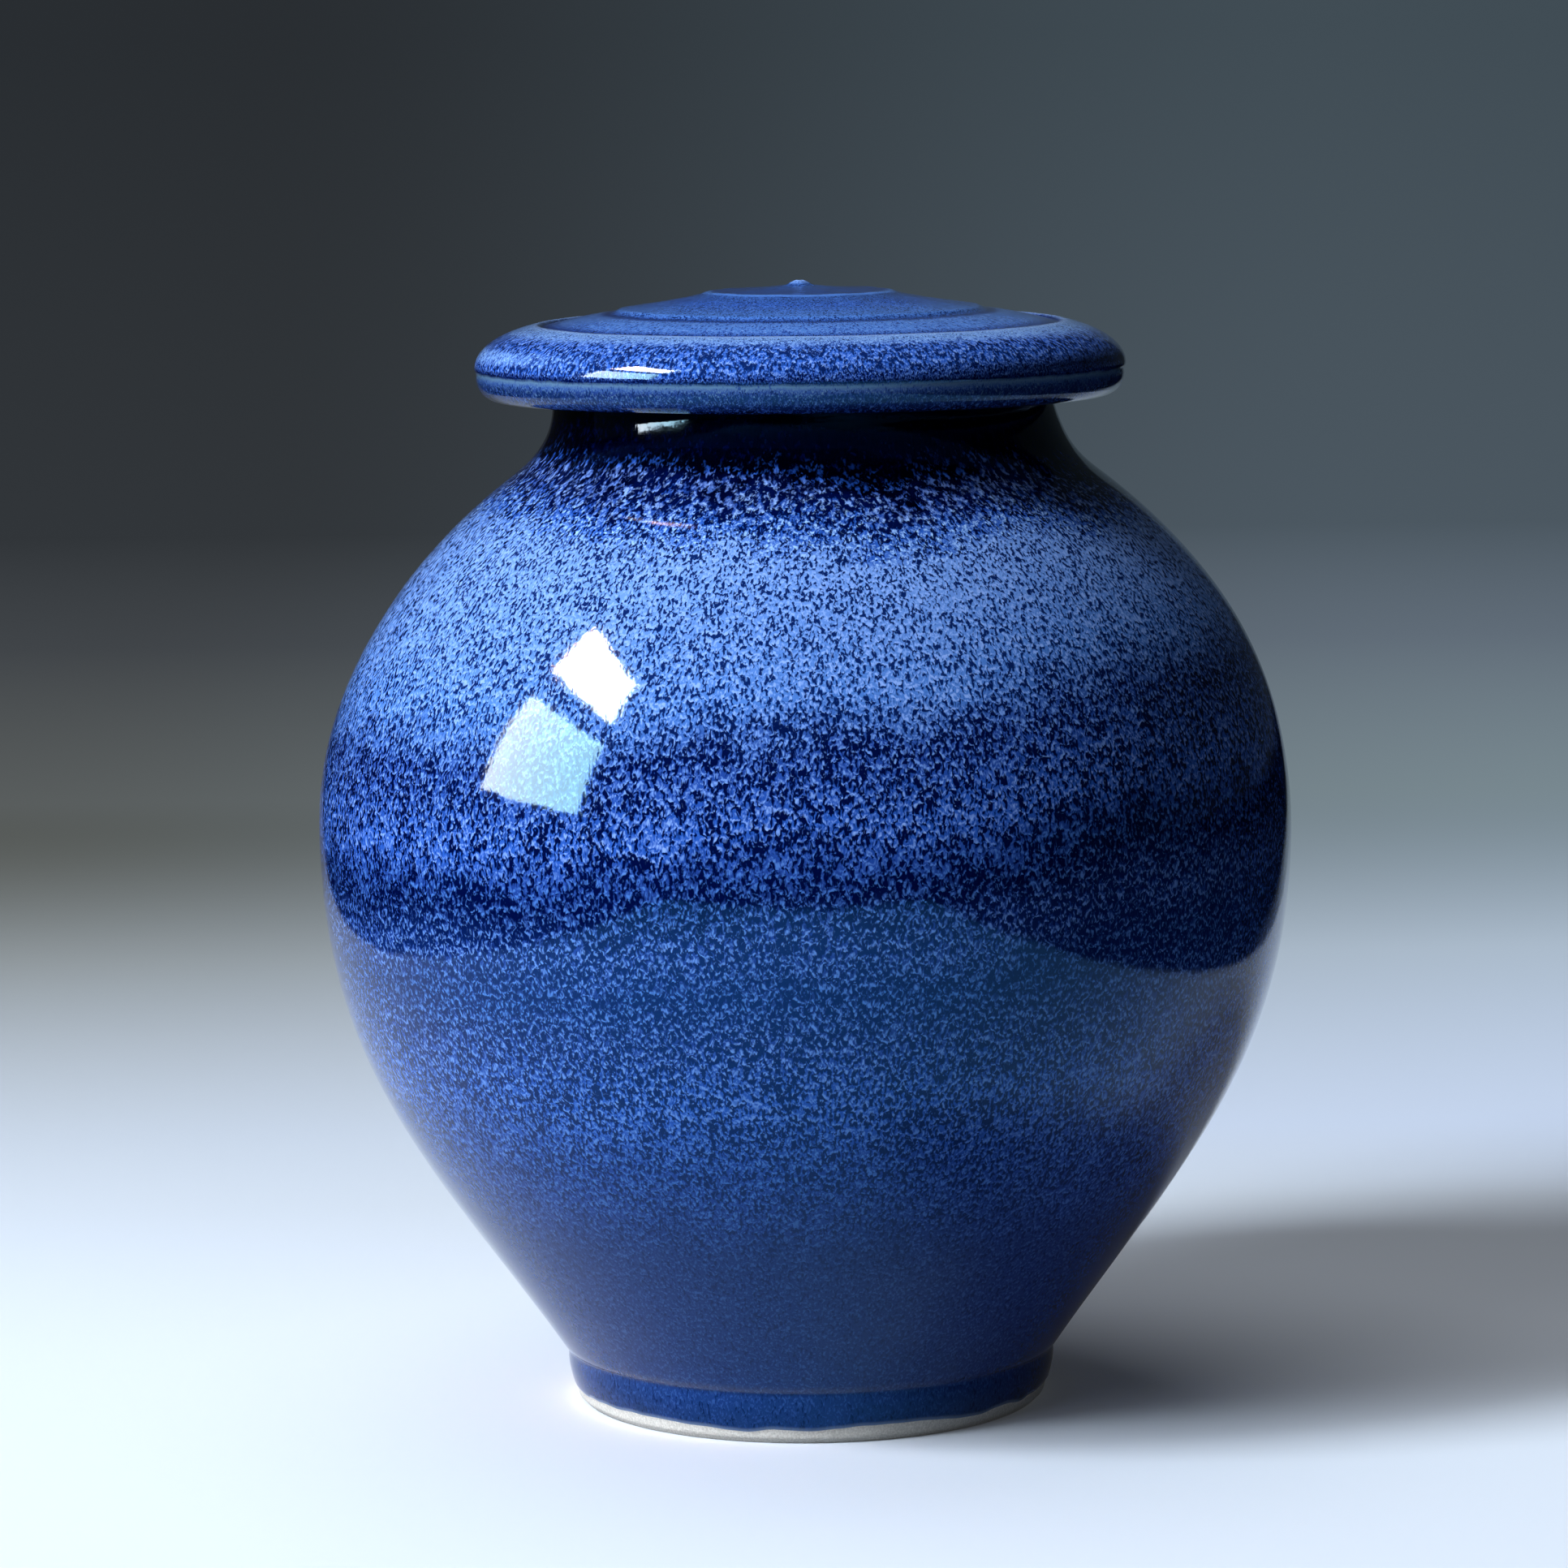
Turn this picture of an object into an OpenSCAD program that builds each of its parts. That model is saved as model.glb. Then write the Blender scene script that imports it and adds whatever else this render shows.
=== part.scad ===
// Lidded jar, thrown on a wheel: a round-bellied jar on a turned foot ring,
// and a wide lid that rests on the mouth and drops a flange into the neck.
// Millimetres, +Z up, origin on the table at the centre of the foot.

/* [Jar] */
// Radius of the belly at its widest
belly_r = 101; // [90:0.5:115]
// Height of the widest part of the belly
belly_z = 121; // [110:1:130]
// Height of the mouth rim, where the lid rests
mouth_z = 215; // [208:1:225]
// Outer radius of the neck at the mouth
neck_r = 51.5; // [50:0.5:55]
// Thickness of the wall in the belly
wall = 6; // [4:0.5:9]
// Thickness of the neck's wall
neck_wall = 5.5; // [4:0.5:8]

/* [Foot] */
// Radius of the foot where it stands on the table
foot_r = 49.4; // [44:0.2:56]
// Height of the crease where the foot meets the belly
foot_h = 11.5; // [9:0.5:14]
// How far the side of the foot swells past its bottom edge
foot_swell = 1.6; // [0.5:0.1:2.5]
// Width of the ring that the jar stands on
foot_ring_w = 9; // [6:0.5:12]
// Depth of the hollow trimmed inside the foot ring
foot_recess = 5; // [3:0.5:6]
// Thickness of the floor above that hollow
floor_t = 8; // [6:0.5:12]

/* [Lid] */
// Radius of the lid at its widest
lid_r = 67.2; // [65:0.2:72]
// Height of the lid's dome above the mouth rim
dome_h = 17.3; // [14:0.1:22]
// How far the skirt hangs down past the mouth rim
skirt_drop = 5.6; // [4:0.2:8]
// Radius of the crease between the dome and the rim
crease_r = 53; // [50:0.5:56]
// Radius of the flat at the centre of the dome
flat_r = 19; // [12:0.5:21]
// Radius of the button at the centre
button_r = 2.2; // [1.8:0.1:3.5]
// Height of the button
button_h = 1.1; // [0.5:0.1:3]
// How far the flange reaches down into the neck
flange_drop = 11; // [6:0.5:14]
// Gap between the flange and the neck, all round
flange_gap = 1.2; // [0.8:0.1:2]
// Thickness of the flange
flange_t = 5; // [4:0.5:6]

/* [Hidden] */
$fn = 180;
LONG = 24;    // steps along the belly
MEDIUM = 10;  // steps along the neck or the skirt
SHORT = 6;    // steps along a small curve
ROUND = 6;    // steps round an edge

// Outside of the foot, from the table up
foot_bevel = 1.2;
foot_edge = [foot_r, foot_bevel];
foot_top = [foot_r + foot_swell, foot_h - 1.5];
belly_start = [foot_top.x + 0.8, foot_h];

// Outside of the belly, shoulder and neck
belly = [belly_r, belly_z];
lower_pull = [25.5, 37.5];
belly_pull_down = [0, -50];
belly_pull_up = [0, 37];
shoulder = [neck_r + 9, mouth_z - 21.2];
shoulder_pull = [15.8, -12];
neck_foot = [neck_r + 0.3, mouth_z - 7.5];
lip = 1.5;

// Inside of the jar
bore_r = neck_r - neck_wall;
throat = [bore_r, mouth_z - 11];
under_shoulder = [bore_r + 11, shoulder.y - 4.5];
belly_in = [belly_r - wall, belly_z];
floor_z = foot_recess + floor_t;
floor_bend = [foot_r - 3, floor_z + 5];
floor_edge = [foot_r - 16, floor_z];

// Hollow inside the foot ring
ring_in_r = foot_r - foot_ring_w;
ring_bevel = 0.8;
recess_slope = 2;

// Top of the lid, with heights measured from the mouth rim
button_top = [0, dome_h + button_h];
button_foot = [button_r * 1.5, dome_h];
flat_edge = [flat_r, dome_h - 1.1];
ring_top = [crease_r - 16, dome_h - 4.4];
ring_foot = [crease_r - 13, dome_h - 5.4];
crease = [crease_r, dome_h - 7.9];
crest = [crease_r + 1.4, dome_h - 7.4];
nose = [lid_r, 0.9];
under_nose = [lid_r - 0.4, -0.1];
skirt_out = [lid_r - 4.7, -skirt_drop];

// Underside of the lid
skirt_in_r = neck_r + 5;
skirt_round = 2;
flange_r = bore_r - flange_gap;
flange_in_r = flange_r - flange_t;
flange_round = 1.5;
roof_edge = [flange_in_r - 8, 6];
roof = [0, dome_h - 8];

// A point of a cubic curve at t, from 0 to 1
function cubic(a, b, c, d, t) =
    pow(1 - t, 3) * a + 3 * pow(1 - t, 2) * t * b + 3 * (1 - t) * t * t * c + pow(t, 3) * d;

// The curve from a to d, pulled towards b and c, without its first point
function curve(a, b, c, d, steps = SHORT) =
    [for (i = [1 : steps]) cubic(a, b, c, d, i / steps)];

// A rounded edge from a to d, whose square corner is at b
function corner(a, b, d) = concat([a], curve(a, (a + b) / 2, (b + d) / 2, d, ROUND));

// Outside of the jar, from the foot's bottom edge up to the mouth
function jar_outside() = concat(
    [[foot_r - foot_bevel, 0], foot_edge],
    curve(foot_edge, foot_edge + [0.7, 3], foot_top + [0.3, -3], foot_top),
    curve(foot_top, foot_top + [-0.1, 0.8], belly_start + [-0.7, -0.5], belly_start, 3),
    curve(belly_start, belly_start + lower_pull, belly + belly_pull_down, belly, LONG),
    curve(belly, belly + belly_pull_up, shoulder + shoulder_pull, shoulder, LONG),
    curve(shoulder, shoulder + [-3.6, 2.7], neck_foot + [1.3, -7.4], neck_foot, MEDIUM),
    corner([neck_r, mouth_z - lip], [neck_r, mouth_z], [neck_r - lip, mouth_z])
);

// Inside of the jar, from the mouth down to the middle of the floor
function jar_inside() = concat(
    corner([bore_r + lip, mouth_z], [bore_r, mouth_z], [bore_r, mouth_z - lip]),
    [throat],
    curve(throat, throat + [0, -5], under_shoulder + [-5, 4], under_shoulder, MEDIUM),
    curve(under_shoulder, under_shoulder + [13, -12.5], belly_in + [0, 40], belly_in, LONG),
    curve(belly_in, belly_in + [0, -50], floor_bend + [20, 28], floor_bend, LONG),
    curve(floor_bend, floor_bend + [-3, -3.5], floor_edge + [6, 0], floor_edge),
    [[0, floor_z]]
);

// The hollow inside the foot ring, from the centre out to the table
function foot_hollow() = [
    [0, foot_recess],
    [ring_in_r - recess_slope, foot_recess],
    [ring_in_r, ring_bevel],
    [ring_in_r + ring_bevel, 0]
];

// Top of the lid, from the button out to the nose and round to the skirt's bottom
function lid_top() = concat(
    [button_top],
    curve(button_top, button_top + [button_r * 0.8, 0], button_foot - [button_r * 0.5, -0.2],
          button_foot),
    curve(button_foot, button_foot + [4, -0.5], flat_edge + [-5, 0.2], flat_edge),
    curve(flat_edge, flat_edge + [3, -1.2], ring_top + [-8, 1.1], ring_top),
    curve(ring_top, ring_top + [1, -0.3], ring_foot + [-2, 0.2], ring_foot, ROUND),
    curve(ring_foot, ring_foot + [5, -0.4], crease + [-4, 0.9], crease),
    curve(crease, crease + [0.4, -0.1], crest + [-0.8, 0], crest, ROUND),
    curve(crest, crest + [8, -1.5], nose + [0, 3.9], nose, LONG),
    [under_nose],
    curve(under_nose, under_nose + [0.3, -2.6], skirt_out + [3.2, 0.2], skirt_out, MEDIUM)
);

// Underside of the lid, from the skirt in to the centre
function lid_under() = concat(
    corner([skirt_in_r + skirt_round, -skirt_drop], [skirt_in_r, -skirt_drop],
           [skirt_in_r, skirt_round - skirt_drop]),
    [[skirt_in_r, 0], [flange_r, 0]],
    corner([flange_r, flange_round - flange_drop], [flange_r, -flange_drop],
           [flange_r - flange_round, -flange_drop]),
    corner([flange_in_r + flange_round, -flange_drop], [flange_in_r, -flange_drop],
           [flange_in_r, flange_round - flange_drop]),
    [[flange_in_r, -1]],
    curve([flange_in_r, -1], [flange_in_r, 2], roof_edge + [5, -1.5], roof_edge),
    curve(roof_edge, roof_edge + [-10, 3], roof + [12, 0], roof)
);

module jar() {
    color([0.16, 0.27, 0.62])
        rotate_extrude()
            polygon(concat(jar_outside(), jar_inside(), foot_hollow()));
}

module lid() {
    color([0.22, 0.36, 0.74])
        translate([0, 0, mouth_z])
            rotate_extrude()
                polygon(concat(lid_top(), lid_under()));
}

jar();
lid();
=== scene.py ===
"""Lidded stoneware jar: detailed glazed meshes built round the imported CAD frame.

Everything is in metres, in the CAD's own frame: +Z up, origin under the middle of the foot.
"""

import math

import bmesh
import bpy
import numpy as np
from mathutils import Matrix, Vector, noise


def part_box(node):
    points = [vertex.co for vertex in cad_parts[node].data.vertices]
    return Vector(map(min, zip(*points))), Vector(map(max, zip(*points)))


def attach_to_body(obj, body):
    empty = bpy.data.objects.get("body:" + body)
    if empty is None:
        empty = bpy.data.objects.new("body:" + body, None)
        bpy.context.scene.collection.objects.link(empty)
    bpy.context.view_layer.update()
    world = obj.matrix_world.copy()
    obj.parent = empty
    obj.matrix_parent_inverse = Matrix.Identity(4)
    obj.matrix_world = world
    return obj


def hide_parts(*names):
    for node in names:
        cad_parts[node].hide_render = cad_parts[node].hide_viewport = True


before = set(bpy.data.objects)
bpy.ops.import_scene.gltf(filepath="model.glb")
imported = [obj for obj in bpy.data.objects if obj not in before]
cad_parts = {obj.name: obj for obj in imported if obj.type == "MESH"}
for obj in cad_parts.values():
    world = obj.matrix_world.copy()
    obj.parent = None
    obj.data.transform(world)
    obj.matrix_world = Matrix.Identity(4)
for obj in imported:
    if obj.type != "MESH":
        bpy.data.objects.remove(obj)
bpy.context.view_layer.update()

MM = 0.001
JAR_LOW, JAR_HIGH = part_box("jar")
LID_LOW, LID_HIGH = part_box("lid")
JAR_HEIGHT = JAR_HIGH.z - JAR_LOW.z


# ---------------------------------------------------------------- outlines


def section(node):
    """The CAD node's outline on one side of its axis, as an (n, 2) array of radius and height.

    It starts and ends on the axis. The node's own mesh is cut on a copy and isn't changed.
    """
    cut = bmesh.new()
    cut.from_mesh(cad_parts[node].data)
    bmesh.ops.remove_doubles(cut, verts=cut.verts, dist=1e-6)
    whole = cut.verts[:] + cut.edges[:] + cut.faces[:]
    bmesh.ops.bisect_plane(cut, geom=whole, plane_co=(0, 0, 0), plane_no=(1, 0, 0), clear_inner=True)
    whole = cut.verts[:] + cut.edges[:] + cut.faces[:]
    made = bmesh.ops.bisect_plane(cut, geom=whole, plane_co=(0, 0, 0), plane_no=(0, 1, 0))
    links = {}
    for edge in made["geom_cut"]:
        if isinstance(edge, bmesh.types.BMEdge):
            a, b = edge.verts
            links.setdefault(a, []).append(b)
            links.setdefault(b, []).append(a)
    ends = [v for v, near in links.items() if len(near) == 1]
    here, before = min(ends, key=lambda v: v.co.z), None
    path = []
    while here is not None:
        path.append((here.co.x, here.co.z))
        ahead = [v for v in links[here] if v is not before]
        here, before = (ahead[0] if ahead else None), here
    cut.free()
    return straightened(np.array(path))


def straightened(path, turn=math.radians(0.4)):
    """The path without the points at which it doesn't turn."""
    keep = [path[0]]
    for i in range(1, len(path) - 1):
        a, b = path[i] - keep[-1], path[i + 1] - path[i]
        if np.hypot(*a) < 1e-6:
            continue
        bend = abs(math.atan2(a[0] * b[1] - a[1] * b[0], a @ b))
        if bend > turn:
            keep.append(path[i])
    if np.hypot(*(path[-1] - keep[-1])) > 1e-6:
        keep.append(path[-1])
    return np.array(keep)


def smoothed(path, spacing, corner=math.radians(20), long=3.0):
    """A round curve through the path's points, at points about spacing(radius, height) apart.

    It stays sharp where the path turns by more than corner, and a piece more than long times
    its neighbour's length stays straight.
    """
    step = np.diff(path, axis=0)
    size = np.hypot(step[:, 0], step[:, 1])
    unit = step / size[:, None]
    count = len(step)
    leave, arrive = unit.copy(), unit.copy()
    for i in range(1, count):
        a, b = unit[i - 1], unit[i]
        if math.acos(max(-1, min(1, a @ b))) > corner:
            continue
        if size[i - 1] > long * size[i]:
            tangent = a
        elif size[i] > long * size[i - 1]:
            tangent = b
        else:
            tangent = a * size[i] + b * size[i - 1]
        tangent = tangent / np.hypot(*tangent)
        arrive[i - 1], leave[i] = tangent, tangent
    points = [path[0]]
    for i in range(count):
        middle = (path[i] + path[i + 1]) / 2
        parts = max(1, round(size[i] / spacing(middle[0], middle[1])))
        for t in np.arange(1, parts + 1) / parts:
            bow = size[i] * (t * (1 - t) ** 2 * leave[i] - t * t * (1 - t) * arrive[i])
            blend = t * t * (3 - 2 * t)
            points.append(path[i] * (1 - blend) + path[i + 1] * blend + bow)
    return np.array(points)


def lengths(rings):
    """Distance along the outline of each of its points."""
    return np.concatenate([[0], np.cumsum(np.hypot(*np.diff(rings, axis=0).T))])


def turned(name, rings, turns, shape):
    """A mesh made by turning the rings, an (n, 2) outline that starts and ends on the axis.

    shape(radius, height, angle, place) gives the handmade (radius, height), where place is the
    distance along the outline.
    """
    place = lengths(rings)
    angles = np.linspace(0, 2 * math.pi, turns, endpoint=False)
    inner = rings[1:-1]
    radius, angle = np.meshgrid(inner[:, 0], angles, indexing="ij")
    height, _ = np.meshgrid(inner[:, 1], angles, indexing="ij")
    along, _ = np.meshgrid(place[1:-1], angles, indexing="ij")
    radius, height = shape(radius, height, angle, along)
    verts = np.stack([radius * np.cos(angle), radius * np.sin(angle), height], -1).reshape(-1, 3)
    first, last = len(verts), len(verts) + 1
    verts = np.vstack([verts, [0, 0, rings[0, 1]], [0, 0, rings[-1, 1]]])
    faces = []
    for i in range(len(inner) - 1):
        for j in range(turns):
            k = (j + 1) % turns
            faces.append((i * turns + j, i * turns + k, (i + 1) * turns + k, (i + 1) * turns + j))
    final = (len(inner) - 1) * turns
    for j in range(turns):
        k = (j + 1) % turns
        faces.append((first, k, j))
        faces.append((last, final + j, final + k))
    mesh = bpy.data.meshes.new(name)
    mesh.from_pydata(verts.tolist(), [], faces)
    mesh.shade_smooth()
    mesh.update()
    piece = bpy.data.objects.new(name, mesh)
    bpy.context.scene.collection.objects.link(piece)
    return piece


# ---------------------------------------------------------------- handmade shape


def smoothstep(low, high, value):
    """0 to 1 as value goes from low to high, with soft ends."""
    t = np.clip((value - low) / (high - low), 0, 1)
    return t * t * (3 - 2 * t)


def ripple(angle, height, pitch, seed):
    """Soft noise from -1 to 1 round the pot, pitch metres across, the same for every run."""
    reach = 0.1 / pitch
    x, y, z = reach * np.cos(angle), reach * np.sin(angle), height / pitch + seed
    flat = [noise.noise(Vector(point)) for point in zip(x.ravel(), y.ravel(), z.ravel())]
    return np.array(flat).reshape(angle.shape)


def first_at(rings, places, test):
    """Distance along the outline of the first point that passes the test."""
    for (radius, height), place in zip(rings, places):
        if test(radius, height):
            return place
    raise ValueError("no such point on the outline")


def band(place, start, stop):
    """Signed distance into the stretch of outline from start to stop, positive inside it."""
    return (stop - start) / 2 - np.abs(place - (start + stop) / 2)


def paint(piece, **layers):
    """Stores each array, whose rows are the rings, as an attribute that the materials read.

    The two vertices on the axis get the mean of the ring beside them.
    """
    for name, value in layers.items():
        vector = value.ndim == 3
        flat = value.reshape(-1, 3) if vector else value.reshape(-1)
        ends = np.array([flat[:TURNS].mean(0), flat[-TURNS:].mean(0)])
        layer = piece.data.attributes.new(name, "FLOAT_VECTOR" if vector else "FLOAT", "POINT")
        layer.data.foreach_set("vector" if vector else "value", np.concatenate([flat, ends]).ravel())


def flow(wide, angle, place):
    """Glaze coordinates in millimetres: round a circle of radius wide, and down the outline."""
    return np.stack([wide * np.cos(angle), wide * np.sin(angle), place], -1) / MM


TURNS = 240
GLAZE_THICKNESS = 0.35 * MM
GLAZE_LINE = 3.0 * MM

# Radii between the outer and inner edges of the foot ring and of the mouth
MID_FOOT = 45 * MM
MID_MOUTH = 48 * MM

# Radii just past the inner wall of the lid's skirt, and at the middle of its bottom
SKIRT_IN = 57 * MM
MID_SKIRT = 60 * MM

# Millimetres by which the jar's bands lean to one side on the belly and to the other on the shoulder,
# and by which they sit lower on the shoulder
BELLY_LEAN = -9
SHOULDER_LEAN = 1.5
SHOULDER_DROP = 0.7


def jar_spacing(radius, height):
    """Distance between the jar's rings: least round the glaze line, and less at the neck than below."""
    if height < 2 * GLAZE_LINE and radius > 40 * MM:
        return 0.45 * MM
    if height > 0.94 * JAR_HEIGHT:
        return 0.9 * MM
    return 1.6 * MM


def make_jar():
    """The jar, with its skin of glaze, wavy glaze line and slight throwing ripples."""
    rings = smoothed(section("jar"), jar_spacing)
    places = lengths(rings)
    mouth = JAR_HEIGHT - 0.1 * MM
    foot_edge = first_at(rings, places, lambda r, z: z < 0.01 * MM and r > MID_FOOT)
    line = first_at(rings, places, lambda r, z: z > GLAZE_LINE and r > MID_FOOT)
    lip_out = first_at(rings, places, lambda r, z: z > mouth)
    lip_in = first_at(rings, places, lambda r, z: z > mouth and r < MID_MOUTH)
    layers = {}

    def shape(radius, height, angle, place):
        level = np.zeros_like(height)
        wobble = 0.8 * ripple(angle, level, 34 * MM, 3.1) + 0.5 * ripple(angle, level, 11 * MM, 8.7)
        bare = np.maximum(band(place, -line, line - 1.4 * MM * wobble), band(place, lip_out, lip_in))
        layers["bare"] = bare / MM
        low = smoothstep(60 * MM, 120 * MM, height)
        high = smoothstep(165 * MM, 188 * MM, height)
        lean = low * (1 - high) * BELLY_LEAN + high * SHOULDER_LEAN
        tilt = (lean * np.cos(angle - 0.1) + high * SHOULDER_DROP) * MM
        zone = height + tilt + low * 4 * MM * ripple(angle, level, 50 * MM, 6.6)
        layers["zone"] = np.where(place < lip_out, zone / JAR_HEIGHT, LINER)
        layers["flow"] = flow(np.sqrt(radius * 80 * MM), angle, -place)
        skin = 1 - smoothstep(-0.5 * MM, 0.1 * MM, bare)
        outside = (place > foot_edge) & (place < lip_in)
        body = smoothstep(line, line + 12 * MM, place)
        body = body * (1 - smoothstep(lip_out - 14 * MM, lip_out, place))
        soft = 0.9 * MM * np.cos(angle) * smoothstep(130 * MM, 170 * MM, height)
        soft = soft + 0.25 * MM * ripple(angle, height, 70 * MM, 1.3)
        soft = soft + 0.03 * MM * ripple(angle, height, 16 * MM, 5.5)
        return radius + outside * (skin - 1) * GLAZE_THICKNESS + body * soft, height

    piece = turned("jar_glazed", rings, TURNS, shape)
    paint(piece, **layers)
    return piece


def lid_spacing(radius, height):
    """Distance between the lid's rings: wide underneath, where little is seen."""
    under = height < LID_HIGH.z - 6 * MM and radius < 46 * MM
    return 2.4 * MM if under else 0.7 * MM


def make_lid():
    """The lid, whose dome leans a little."""
    rings = smoothed(section("lid"), lid_spacing)
    places = lengths(rings)
    flange_in = first_at(rings, places, lambda r, z: z < LID_LOW.z + 2 * MM)
    skirt_in = first_at(rings, places, lambda r, z: r > SKIRT_IN and z < JAR_HEIGHT - 2.5 * MM)
    skirt = first_at(rings, places, lambda r, z: r > MID_SKIRT)
    middle = places[-1]
    layers = {}

    def shape(radius, height, angle, place):
        wobble = ripple(angle, np.zeros_like(height), 14 * MM, 2.2)
        layers["bare"] = band(place, flange_in - (4 + wobble) * MM, skirt_in + 0.6 * wobble * MM) / MM
        zone = (middle - place) / LID_REACH
        # Painted light and shade round the rim: at the left, where the light falls, paler glaze reaches
        # further round it, and at the right, in shade, it ends sooner
        rim = smoothstep(0.73, 0.785, zone) * (1 - smoothstep(0.80, 0.818, zone))
        left, right = np.minimum(np.cos(angle), 0), np.maximum(np.cos(angle), 0)
        layers["zone"] = np.where(place < skirt, LINER, zone + rim * (0.1 * left + 0.025 * right))
        layers["flow"] = flow(np.minimum(1.5 * radius, 60 * MM), angle, middle - place)
        soft = 0.10 * MM * ripple(angle, radius, 30 * MM, 4.4)
        lean = 0.012 * radius * np.sin(angle) * (1 - smoothstep(54 * MM, 64 * MM, radius))
        return radius, height + (soft + lean) * smoothstep(skirt, skirt + 8 * MM, place)

    piece = turned("lid_glazed", rings, TURNS, shape)
    paint(piece, **layers)
    return piece


# ---------------------------------------------------------------- materials


def colour(code):
    """A colour from its sRGB hex code, as linear RGBA."""
    parts = [int(code[i : i + 2], 16) / 255 for i in (0, 2, 4)]
    return [c / 12.92 if c <= 0.04045 else ((c + 0.055) / 1.055) ** 2.4 for c in parts] + [1]


class Nodes:
    """One material's node tree. An input may be a value or another node's output."""

    def __init__(self, name):
        self.material = bpy.data.materials.new(name)
        self.material.use_nodes = True
        self.tree = self.material.node_tree
        self.shader = self.tree.nodes["Principled BSDF"]

    def set(self, node, inputs):
        for key, value in inputs.items():
            if isinstance(value, bpy.types.NodeSocket):
                self.tree.links.new(value, node.inputs[key])
            else:
                node.inputs[key].default_value = value
        return node

    def add(self, kind, inputs, **settings):
        node = self.tree.nodes.new("ShaderNode" + kind)
        for key, value in settings.items():
            setattr(node, key, value)
        return self.set(node, inputs)

    def layer(self, name):
        node = self.add("Attribute", {}, attribute_name=name)
        return node.outputs["Vector" if name == "flow" else "Fac"]

    def math(self, operation, *values):
        return self.add("Math", dict(enumerate(values)), operation=operation).outputs[0]

    def vector(self, operation, *values):
        return self.add("VectorMath", dict(enumerate(values)), operation=operation).outputs[0]

    def noise(self, vector, size, detail=2.0, rough=0.5, output="Fac"):
        """Noise whose blobs are about size units of vector across."""
        inputs = {"Vector": vector, "Scale": 1 / size, "Detail": detail, "Roughness": rough}
        return self.add("TexNoise", inputs).outputs[output]

    def step(self, value, low, high, out_low=0.0, out_high=1.0):
        """out_low to out_high as value goes from low to high, with soft ends."""
        inputs = {"Value": value, "From Min": low, "From Max": high, "To Min": out_low, "To Max": out_high}
        return self.add("MapRange", inputs, interpolation_type="SMOOTHSTEP").outputs["Result"]

    def ramp(self, value, stops):
        """stops are (place, colour or number)."""
        node = self.add("ValToRGB", {"Fac": value})
        elements = node.color_ramp.elements
        while len(elements) < len(stops):
            elements.new(1.0)
        for element, (place, shade) in zip(elements, stops):
            element.position = place
            element.color = shade if isinstance(shade, list) else [shade] * 3 + [1]
        return node.outputs["Color"]

    def mix(self, factor, low, high):
        """Colour low to colour high as factor goes from 0 to 1.

        0, 6 and 7 are the mix node's factor and its two colour inputs.
        """
        return self.add("Mix", {0: factor, 6: low, 7: high}, data_type="RGBA").outputs[2]


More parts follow.
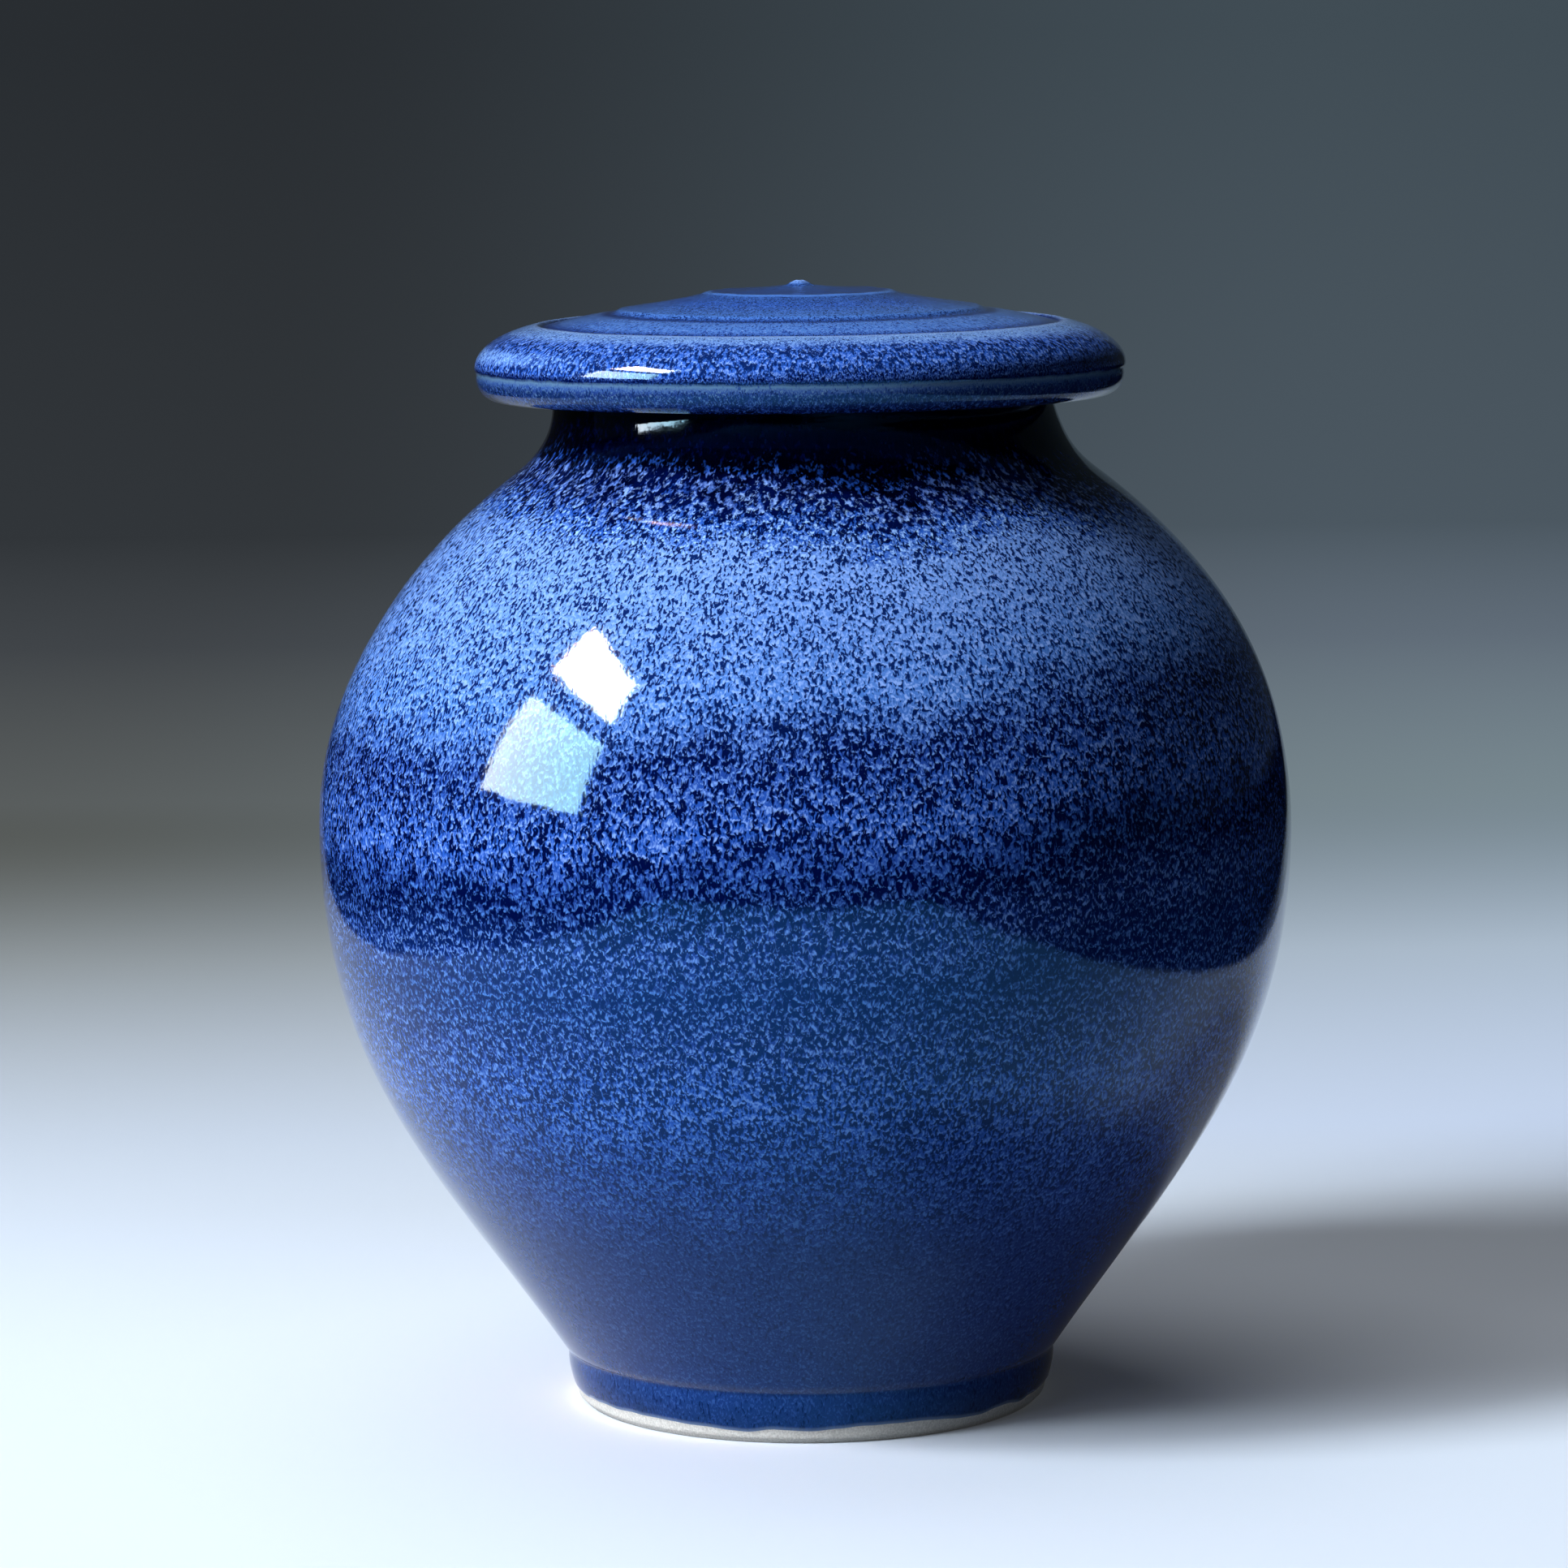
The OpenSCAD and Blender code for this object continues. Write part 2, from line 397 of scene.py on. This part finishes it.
def glaze(name, bands, size, blur):
    """Runny blue glaze whose look follows the zone layer.

    bands are (zone, dark share, coarseness, dark, ground, pale), with the last three named in SHADES:
    dark drops lie in a blue ground, and pale crests curl over them. A coarseness of 0 gives fine
    specks, and 1 gives a net round wide drops.
    size scales the whole pattern, and blur is how far the zones run into each other.
    """
    n = Nodes(name)
    place = n.vector("MULTIPLY", n.layer("flow"), (1 / size, 1 / size, 1 / size))
    swirl = n.vector("SUBTRACT", n.noise(place, 1.5, 1.0, output="Color"), (0.5, 0.5, 0.5))
    bent = n.vector("ADD", place, n.vector("MULTIPLY", swirl, (0.8, 0.8, 1.8)))
    patches = n.math("SUBTRACT", n.noise(place, 8.0, 2.0), 0.5)

    zone = n.math("MULTIPLY_ADD", patches, blur, n.layer("zone"))
    zone = n.math("DIVIDE", zone, LINER)
    zones, shares, coarsenesses, *shades = zip(*bands)
    columns = [shares, coarsenesses] + [[colour(SHADES[shade]) for shade in row] for row in shades]
    stops = [[(at / LINER, value) for at, value in zip(zones, column)] for column in columns]
    share, coarse, dark, ground, pale = (n.ramp(zone, column) for column in stops)

    drawn = n.vector("MULTIPLY", bent, (1.0, 1.0, 0.45))
    fine, fine_below = (n.noise(n.vector("ADD", drawn, (0, 0, fall)), 0.6, 1.5) for fall in (0, 0.18))
    wide, wide_below = (n.noise(n.vector("ADD", drawn, (0, 0, fall)), 1.3, 2.5) for fall in (0, 0.3))
    clumps = n.math("SUBTRACT", n.noise(n.vector("MULTIPLY", place, (1.0, 1.0, 0.7)), 2.6, 2.0, 0.6), 0.5)
    drops = n.math("MULTIPLY_ADD", n.math("SUBTRACT", wide, fine), coarse, fine)
    below = n.math("MULTIPLY_ADD", n.math("SUBTRACT", wide_below, fine_below), coarse, fine_below)
    level = n.math("MULTIPLY_ADD", n.math("SUBTRACT", drops, 0.5), 2.0, 0.5)
    level = n.math("MULTIPLY_ADD", clumps, 0.5, level)
    level = n.math("MULTIPLY_ADD", patches, 0.25, level)
    crest = n.math("MULTIPLY_ADD", n.math("SUBTRACT", drops, below), 1.5, n.math("MULTIPLY", level, 0.3))

    body = n.mix(n.step(n.math("SUBTRACT", level, share), -0.10, 0.12), dark, ground)
    body = n.mix(n.step(crest, 0.14, 0.48), body, pale)

    bare = n.layer("bare")
    fired = n.step(bare, -0.12, 0.12)
    grit = n.noise(n.layer("flow"), 0.5, 3.0, 0.7)
    clay = n.mix(n.step(grit, 0.35, 0.7), colour("d0cbc2"), colour("f0ece4"))
    thin = n.math("MULTIPLY", n.step(bare, -1.1, -0.2), 0.45)
    body = n.mix(thin, body, colour("8fa6c8"))
    relief = n.math("ADD", n.math("MULTIPLY", level, 0.006), n.math("MULTIPLY", patches, 0.03))
    relief = n.math("ADD", relief, n.math("MULTIPLY", n.math("MULTIPLY", grit, fired), 0.12))
    bump = n.add("Bump", {"Height": relief, "Distance": MM, "Strength": 1.0})
    n.set(n.shader, {"Base Color": n.mix(fired, body, clay)})
    n.set(n.shader, {"Roughness": n.step(bare, -0.12, 0.12, 0.05, 0.8)})
    n.set(n.shader, {"Normal": bump.outputs[0], "IOR": 1.45, "Specular Tint": (0.1, 0.5, 1.0, 1.0)})
    return n.material


# SHADES, the two tables of bands and BACKDROP aren't a free design. Scratch scripts worked most of
# their colours and dark shares out from tones measured in the photo. Rows were then added and changed
# against the photo, and at the end all of them were rounded to fewer shades and stops.
SHADES = {
    "black": "000008",
    "ink": "000838",
    "midnight": "082058",
    "deep": "102858",
    "navy": "183070",
    "cobalt": "204090",
    "royal": "2858b8",
    "steel": "305090",
    "mist": "587898",
    "blue": "4878c8",
    "sky": "6890d8",
    "pale": "88a8e8",
    "ice": "a8d0f8",
}

# Zone of the glazed surfaces that are out of sight: inside the jar and under the lid
LINER = 1.1

# Rows as glaze() reads them. Zones are fractions of the jar's height.
JAR_BANDS = [
    (0.00, 0.20, 0.0, "ink", "deep", "navy"),
    (0.06, 0.20, 0.0, "midnight", "navy", "steel"),
    (0.20, 0.30, 0.0, "midnight", "navy", "steel"),
    (0.29, 0.45, 0.1, "midnight", "cobalt", "blue"),
    (0.36, 0.50, 0.1, "midnight", "royal", "sky"),
    (0.42, 0.50, 0.1, "midnight", "cobalt", "sky"),
    (0.47, 0.55, 0.1, "midnight", "navy", "blue"),
    (0.52, 0.55, 0.1, "midnight", "cobalt", "sky"),
    (0.56, 0.55, 0.3, "ink", "navy", "blue"),
    (0.59, 0.50, 0.3, "ink", "cobalt", "blue"),
    (0.62, 0.45, 0.3, "ink", "royal", "pale"),
    (0.69, 0.50, 0.2, "ink", "cobalt", "sky"),
    (0.74, 0.40, 0.0, "midnight", "blue", "pale"),
    (0.85, 0.40, 0.0, "midnight", "sky", "pale"),
    (0.875, 0.45, 0.4, "ink", "royal", "ice"),
    (0.905, 0.60, 0.8, "ink", "cobalt", "pale"),
    (0.92, 0.65, 1.0, "black", "ink", "royal"),
    (0.935, 0.70, 1.0, "black", "black", "ink"),
    (1.00, 0.70, 1.0, "black", "black", "black"),
    (LINER, 0.60, 0.0, "black", "ink", "deep"),
]

# Zones are fractions of this distance, from the lid's centre out over its top and round its rim.
LID_REACH = 88 * MM
LID_BANDS = [
    # The two palest rows, at the nub in the middle of the top, are a painted highlight on it
    (0.00, 0.10, 0.0, "sky", "pale", "ice"),
    (0.015, 0.10, 0.0, "blue", "sky", "pale"),
    (0.03, 0.40, 0.8, "midnight", "steel", "blue"),
    (0.205, 0.40, 0.6, "midnight", "cobalt", "blue"),
    # The two pale rows on the ridge round the plateau are a painted highlight on that ridge
    (0.215, 0.10, 0.0, "steel", "blue", "sky"),
    (0.222, 0.10, 0.0, "steel", "blue", "sky"),
    (0.232, 0.40, 0.6, "midnight", "steel", "blue"),
    (0.30, 0.40, 0.8, "midnight", "royal", "sky"),
    (0.43, 0.40, 0.8, "midnight", "blue", "sky"),
    (0.46, 0.60, 0.4, "midnight", "cobalt", "royal"),
    (0.485, 0.35, 0.6, "cobalt", "blue", "pale"),
    (0.565, 0.40, 0.6, "cobalt", "blue", "pale"),
    (0.60, 0.50, 0.2, "midnight", "cobalt", "royal"),
    (0.62, 0.60, 0.2, "ink", "midnight", "cobalt"),
    # The pale row on the crest by the groove is partly thin glaze and partly a painted highlight
    (0.632, 0.10, 0.0, "sky", "pale", "ice"),
    (0.65, 0.30, 0.0, "midnight", "sky", "ice"),
    (0.69, 0.40, 0.4, "cobalt", "sky", "ice"),
    (0.72, 0.50, 0.8, "midnight", "royal", "pale"),
    (0.79, 0.50, 0.8, "midnight", "royal", "pale"),
    (0.812, 0.45, 0.2, "ink", "cobalt", "sky"),
    (0.825, 0.45, 0.2, "ink", "ink", "cobalt"),
    (0.833, 0.15, 0.0, "steel", "mist", "mist"),
    # The grey in these two rows, on the lower bead, is partly the glaze's own grey and partly a painted
    # reflection of the table
    (0.843, 0.30, 0.2, "deep", "steel", "mist"),
    (0.855, 0.50, 0.5, "deep", "navy", "mist"),
    (0.905, 0.55, 0.6, "ink", "navy", "blue"),
    (0.925, 0.70, 0.3, "ink", "midnight", "cobalt"),
    (0.95, 0.20, 0.0, "cobalt", "blue", "sky"),
    (0.97, 0.70, 0.3, "ink", "midnight", "royal"),
    (LINER, 0.60, 0.0, "black", "ink", "deep"),
]


# ---------------------------------------------------------------- the studio


AIM = (0, 0, 0.1)


def aim(light, x, y, z):
    """Puts the light at x, y, z and turns it to the jar."""
    light.location = (x, y, z)
    light.rotation_euler = (Vector(AIM) - light.location).to_track_quat("-Z", "Y").to_euler()


def softbox(name, width, height, radiance, tint, lights=True, shines=False):
    """An area light that the camera doesn't see. It lights matt colour, shines in the glaze, or both."""
    data = bpy.data.lights.new(name, "AREA")
    data.shape = "RECTANGLE"
    data.size, data.size_y = width, height
    data.energy = radiance * math.pi * width * height
    data.color = tint
    light = bpy.data.objects.new(name, data)
    bpy.context.scene.collection.objects.link(light)
    light.visible_camera = False
    light.visible_diffuse = lights
    light.visible_glossy = shines
    return light


WINDOW_AWAY = 2.0
WINDOW_LIFT = 0.16
DAYLIGHT = (0.86, 0.93, 1.0)

# Height of a pane, and of its middle over WINDOW_LIFT, as a share of its glint's
PANE_SHARE = 0.85

# Name, bottom and top over WINDOW_LIFT as shares of WINDOW_AWAY, strength of pane and glint, and
# the glint's tint
WINDOWS = [
    ("high", 0.845, 1.23, 57, 400, (0.7, 0.24, 0.14)),
    ("low", 0.20, 0.68, 25, 100, (0.68, 0.34, 0.23)),
]


def windows():
    """Two windows at the left, one over the other.

    Each is two lights in slightly different places: a pane that lights the pot and isn't reflected,
    and a glint that is only seen reflected in the glaze.
    """
    away = WINDOW_AWAY
    for name, low, high, radiance, glint, tint in WINDOWS:
        tall, middle = (high - low) * away, away * (low + high) / 2
        lit = softbox(f"pane_{name}", 0.31 * away, PANE_SHARE * tall, radiance, DAYLIGHT)
        lit.location = (-0.79 * away, -0.48 * away, WINDOW_LIFT + PANE_SHARE * middle)
        lit.rotation_euler = (math.radians(90), 0, math.radians(-59))
        shine = softbox(f"glint_{name}", 0.6 * away, tall, glint, tint, False, True)
        shine.location = (-away, -0.45 * away, WINDOW_LIFT + middle)
        shine.rotation_euler = (math.radians(90), 0, math.radians(-90))


def fills():
    """Two large soft lights, in front and above, that aren't reflected in the glaze."""
    front = softbox("front_fill", 1.2, 1.2, 2.5, (0.9, 0.95, 1.0))
    aim(front, -1.6, -1.9, 1.3)
    top = softbox("top_fill", 2.0, 2.0, 1.25, (1.0, 1.0, 1.0))
    aim(top, -0.35, 0.5, 2.3)


# Metres back along the table and up the wall, then the glow there at the left and at the right
BACKDROP = [
    (0.05, "282828", "282828"),
    (0.20, "080808", "101010"),
    (0.30, "080808", "586888"),
    (0.60, "484838", "8898a8"),
    (1.00, "585c5c", "788890"),
    (1.60, "404448", "606c78"),
    (2.60, "282c30", "404c54"),
]
BACKDROP_REACH = 3.0

# The sheet: half its width, how far back its wall stands, and the wall's height
SHEET_HALF, SHEET_BACK, WALL_HEIGHT = 6.0, 2.3, 6.0

# Edges of the pale part of the table, and how far back it has faded out
PALE_LEFT, PALE_RIGHT, PALE_FRONT, PALE_BACK = -0.4, 0.33, -0.7, 0.95
EDGE = 0.01

# Changes in the table's brightness: as matt surfaces see it, and as the glaze mirrors it beside the
# foot, which is dimmed fully up to BESIDE_FOOT from the pot's axis and not at all past PAST_FOOT
LESS_BOUNCE, LESS_MIRROR = -0.6, -0.85
BESIDE_FOOT, PAST_FOOT = 0.12, 0.17


def studio():
    """A pale table that fades into a wall behind the pot, and dark room all round.

    The table isn't physical. Matt surfaces get less light from it than it shows the camera, its mirror
    image is dimmed beside the foot on the right, and the table and the wall glow by themselves.
    """
    half, back, top = SHEET_HALF, SHEET_BACK, WALL_HEIGHT
    table = [(-half, -half, 0), (half, -half, 0), (half, back, 0), (-half, back, 0)]
    corners = table + [(half, back, top), (-half, back, top)]
    mesh = bpy.data.meshes.new("studio")
    mesh.from_pydata(corners, [], [(0, 1, 2, 3), (3, 2, 4, 5)])
    sheet = bpy.data.objects.new("studio", mesh)
    bpy.context.scene.collection.objects.link(sheet)
    n = Nodes("studio")
    axes = n.add("SeparateXYZ", {"Vector": n.add("NewGeometry", {}).outputs["Position"]}).outputs
    from_left = n.step(axes[0], PALE_LEFT - EDGE, PALE_LEFT + EDGE)
    from_right = n.step(axes[0], PALE_RIGHT + EDGE, PALE_RIGHT - EDGE)
    from_front = n.step(axes[1], PALE_FRONT - EDGE, PALE_FRONT + EDGE)
    lit = n.math("MULTIPLY", n.math("MULTIPLY", from_left, from_right), from_front)
    near = n.math("MULTIPLY", lit, n.step(axes[1], PALE_BACK, 0.0))
    rays = n.add("LightPath", {}).outputs
    bounce = n.math("MULTIPLY_ADD", rays["Is Diffuse Ray"], LESS_BOUNCE, 1.0)
    reach = n.math("MULTIPLY_ADD", axes[0], axes[0], n.math("MULTIPLY", axes[1], axes[1]))
    beside = n.math("MULTIPLY", n.step(reach, PAST_FOOT**2, BESIDE_FOOT**2), n.step(axes[0], 0.0, 0.07))
    mirrored = n.math("MULTIPLY", beside, rays["Is Glossy Ray"])
    bounce = n.math("MULTIPLY_ADD", mirrored, LESS_MIRROR, bounce)
    sheet_colour = n.mix(n.math("MULTIPLY", near, bounce), colour("060708"), colour("dfe7f2"))
    n.set(n.shader, {"Base Color": sheet_colour, "Roughness": 0.9, "Specular IOR Level": 0.0})
    far = n.math("DIVIDE", n.math("ADD", axes[1], axes[2]), BACKDROP_REACH)
    left = n.ramp(far, [(u / BACKDROP_REACH, colour(shade)) for u, shade, _ in BACKDROP])
    right = n.ramp(far, [(u / BACKDROP_REACH, colour(shade)) for u, _, shade in BACKDROP])
    # The table's glow is a little wider than the camera's view and widens with it. All of the wall
    # glows at a quarter of its strength.
    spread = n.math("MULTIPLY_ADD", axes[1], -0.17, n.math("ABSOLUTE", axes[0]))
    glow = n.mix(n.step(axes[0], -0.35, 0.35), left, right)
    wall = n.step(axes[2], 0.0, 0.1, 0.0, 0.25)
    strength = n.math("MAXIMUM", n.step(spread, 0.34, 0.24), wall)
    n.set(n.shader, {"Emission Color": glow, "Emission Strength": strength})
    sheet.data.materials.append(n.material)
    world = bpy.data.worlds.new("room")
    bpy.context.scene.world = world
    world.use_nodes = True
    world.node_tree.nodes["Background"].inputs[0].default_value = colour("2a3036")


# Where the photo's perspective puts the camera, how it is turned, and its lens
EYE = (0, -1.174, 0.275)
LOOK_DOWN, LOOK_LEFT, ROLL = math.radians(7.1), math.radians(0.211), -0.0115
LENS = 130.4


def camera():
    """The camera at the photo's viewing angle."""
    data = bpy.data.cameras.new("camera")
    data.lens = LENS
    eye = bpy.data.objects.new("camera", data)
    bpy.context.scene.collection.objects.link(eye)
    eye.location = EYE
    turn = Matrix.Rotation(LOOK_LEFT, 4, "Z") @ Matrix.Rotation(math.pi / 2 - LOOK_DOWN, 4, "X")
    eye.rotation_euler = (turn @ Matrix.Rotation(ROLL, 4, "Z")).to_euler()
    bpy.context.scene.camera = eye
    bpy.context.scene.view_settings.view_transform = "Standard"


def attach(piece, body, material):
    """Gives the piece its material, and puts it in the place of the body's CAD node."""
    piece.data.materials.append(material)
    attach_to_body(piece, body)
    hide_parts(body)


attach(make_jar(), "jar", glaze("jar_glaze", JAR_BANDS, 1.0, 0.06))
attach(make_lid(), "lid", glaze("lid_glaze", LID_BANDS, 0.45, 0.008))
studio()
windows()
fills()
camera()
